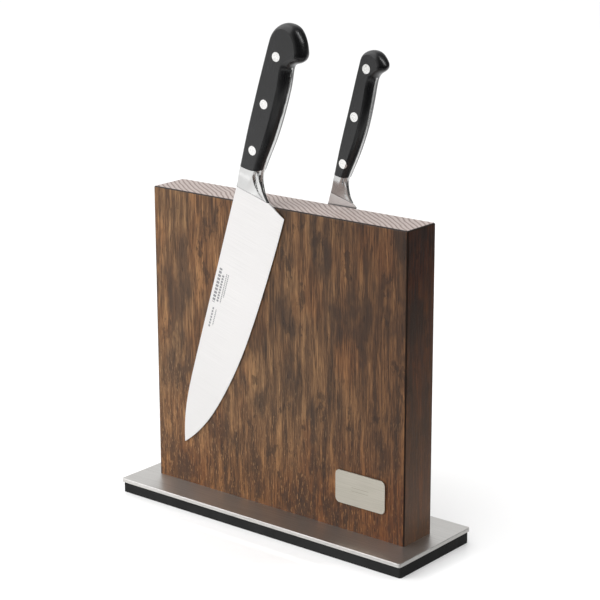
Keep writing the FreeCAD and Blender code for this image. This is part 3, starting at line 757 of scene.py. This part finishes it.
def stage_floor():
    """A pale table.  Only in what the steel and the handles mirror, it is painted dark off to its
    right: a painted darker room.
    """
    mesh = bpy.data.meshes.new("floor")
    reach = 12.0
    corners = [(-reach, -reach, 0), (reach, -reach, 0), (reach, reach, 0), (-reach, reach, 0)]
    mesh.from_pydata(corners, [], [(0, 1, 2, 3)])
    floor = bpy.data.objects.new("floor", mesh)
    bpy.context.scene.collection.objects.link(floor)
    made, tree, out = new_material("pale_floor")
    here = add(tree, "ShaderNodeTexCoord").outputs["Object"]
    to_the_right = (0.966, -0.259, 0.0)
    start, end = 0.13, 0.23
    across = add(tree, "ShaderNodeVectorMath", {0: here, 1: to_the_right},
                 operation="DOT_PRODUCT").outputs["Value"]
    dim = add(tree, "ShaderNodeMapRange", {"Value": across, "From Min": start, "From Max": end},
              interpolation_type="SMOOTHSTEP")
    # A pale strip painted into that dark stands in for a lit strip lamp, and shows as a bright line
    # on the rounded steel and plastic.
    strip_at, strip_half = 0.42, 0.07
    painted_strip = add(tree, "ShaderNodeMath", {0: across, 1: strip_at, 2: strip_half},
                operation="COMPARE")
    painted_dark = add(tree, "ShaderNodeMath", {0: dim.outputs[0], 1: painted_strip.outputs[0]},
                operation="SUBTRACT")
    # Seen straight on, the table is pale all over, and glows a little so that shadows stay faint.
    glow = 0.10
    seen = add(tree, "ShaderNodeLightPath").outputs["Is Camera Ray"]
    mirrored = add(tree, "ShaderNodeMath", {0: painted_dark.outputs[0], 1: seen}, operation="SUBTRACT",
                   use_clamp=True)
    shade = add(tree, "ShaderNodeMix", {
        0: mirrored.outputs[0], 6: linear("f8f8f8"), 7: linear("2c2c2c")}, data_type="RGBA")
    lift = add(tree, "ShaderNodeMath", {0: seen, 1: glow}, operation="MULTIPLY")
    finish_material(made, tree, out, {
        "Base Color": shade.outputs[2], "Roughness": 0.12, "Specular IOR Level": 0.25,
        "Emission Color": (1, 1, 1, 1), "Emission Strength": lift.outputs[0]})
    mesh.materials.append(made)


def sunlight(name, towards, spread_deg, strength):
    """Even soft light from one side of the sky."""
    light = bpy.data.lights.new(name, "SUN")
    light.angle = math.radians(spread_deg)
    light.energy = strength
    lamp = bpy.data.objects.new(name, light)
    lamp.rotation_euler = Vector(towards).to_track_quat("-Z", "Y").to_euler()
    bpy.context.scene.collection.objects.link(lamp)


def softbox(name, place, aim, size, watts):
    """A lamp behind a cloth of this width and height."""
    light = bpy.data.lights.new(name, "AREA")
    light.shape = "RECTANGLE"
    light.size, light.size_y = size
    light.energy = watts
    lamp = bpy.data.objects.new(name, light)
    lamp.location = place
    lamp.rotation_euler = (Vector(aim) - Vector(place)).to_track_quat("-Z", "Y").to_euler()
    bpy.context.scene.collection.objects.link(lamp)


def studio_world():
    """Soft white light from the left, the front and above, and a dark room to the right and
    behind.  Seen straight on, the room is white all round."""
    world = bpy.data.worlds.new("studio")
    world.use_nodes = True
    bpy.context.scene.world = world
    tree = world.node_tree
    tree.nodes.clear()
    out = tree.nodes.new("ShaderNodeOutputWorld")
    here = add(tree, "ShaderNodeTexCoord").outputs["Generated"]
    to_right_and_back = (0.86, 0.51, -0.1)
    turned = add(tree, "ShaderNodeVectorMath", {0: here, 1: to_right_and_back},
                 operation="DOT_PRODUCT")
    shade = add(tree, "ShaderNodeMapRange", {
        "Value": turned.outputs["Value"], "From Min": -0.1, "From Max": 0.6,
        "To Min": 0.85, "To Max": 0.06}, interpolation_type="SMOOTHSTEP")
    seen = add(tree, "ShaderNodeLightPath").outputs["Is Camera Ray"]
    strength = add(tree, "ShaderNodeMath", {0: shade.outputs[0], 1: seen}, operation="MAXIMUM")
    light = add(tree, "ShaderNodeBackground", {
        "Color": (1, 1, 1, 1), "Strength": strength.outputs[0]})
    tree.links.new(light.outputs[0], out.inputs["Surface"])


def camera():
    """The eye stands in front and to the right, a little above the block."""
    azimuth, elevation, roll = (math.radians(a) for a in (39.13, 15.63, -0.16))
    distance, right_of_origin, above_origin = 1.52158, 0.00797, 0.1726
    sensor_mm, lens_mm = 36.0, 114.104
    right = Vector((math.cos(azimuth), math.sin(azimuth), 0))
    back = Vector((math.sin(azimuth) * math.cos(elevation),
                   -math.cos(azimuth) * math.cos(elevation), math.sin(elevation)))
    up = back.cross(right)
    right, up = (right * math.cos(roll) + up * math.sin(roll),
                 up * math.cos(roll) - right * math.sin(roll))
    data = bpy.data.cameras.new("camera")
    data.sensor_width = sensor_mm
    data.lens = lens_mm
    eye = bpy.data.objects.new("camera", data)
    place = right * right_of_origin + up * above_origin + back * distance
    eye.matrix_world = Matrix.Translation(place) @ Matrix((right, up, back)).transposed().to_4x4()
    bpy.context.scene.collection.objects.link(eye)
    bpy.context.scene.camera = eye


bpy.context.scene.view_settings.view_transform = "Standard"
stage_floor()
studio_world()
softbox("key", place=(-1.5, -1.6, 1.3), aim=(0, 0, 0.15), size=(1.2, 1.2), watts=16)
softbox("rim", place=(0.75, 0.55, 0.95), aim=(0, 0, 0.36), size=(0.1, 0.7), watts=2.5)
sunlight("overhead", towards=(0.35, 0.3, -1.0), spread_deg=90, strength=1.6)
camera()
